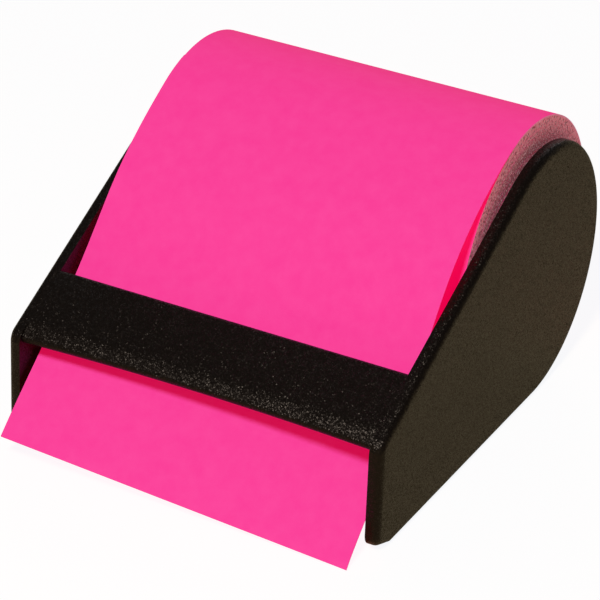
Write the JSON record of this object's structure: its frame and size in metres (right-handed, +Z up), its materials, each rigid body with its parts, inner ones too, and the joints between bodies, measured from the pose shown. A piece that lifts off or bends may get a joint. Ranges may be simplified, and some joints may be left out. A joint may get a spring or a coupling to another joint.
{
  "type": "sticky note roll in a desk dispenser",
  "caption": "Wide roll of pink self-stick note paper in a black teardrop desk dispenser, its sheet bowing down under the front bar to a free end.",
  "frame": {"origin": "middle of the flat base on the table, midway between the cheeks", "axes": "+X along the roll to the right as seen from the front, +Y to the back, +Z up; the free end of the sheet points to -Y"},
  "size_m": [0.0658, 0.0852, 0.0494],
  "materials": {
    "black_plastic": "spark-textured moulded plastic, satin black",
    "brown_board": "plain spiral-wound board",
    "pink_paper": "uncoated fluorescent pink note paper"
  },
  "bodies": {
    "dispenser": {"dispenser_body": "black_plastic", "paper_strip": "pink_paper"},
    "roll": {"paper_roll": "pink_paper", "roll_core": "brown_board"}
  },
  "joints": [
    {"name": "roll_turn", "type": "hinge", "parent": "dispenser", "child": "roll", "pos_m": [0, 0.01865, 0.0257], "axis": [1, 0, 0], "continuous": true}
  ]
}
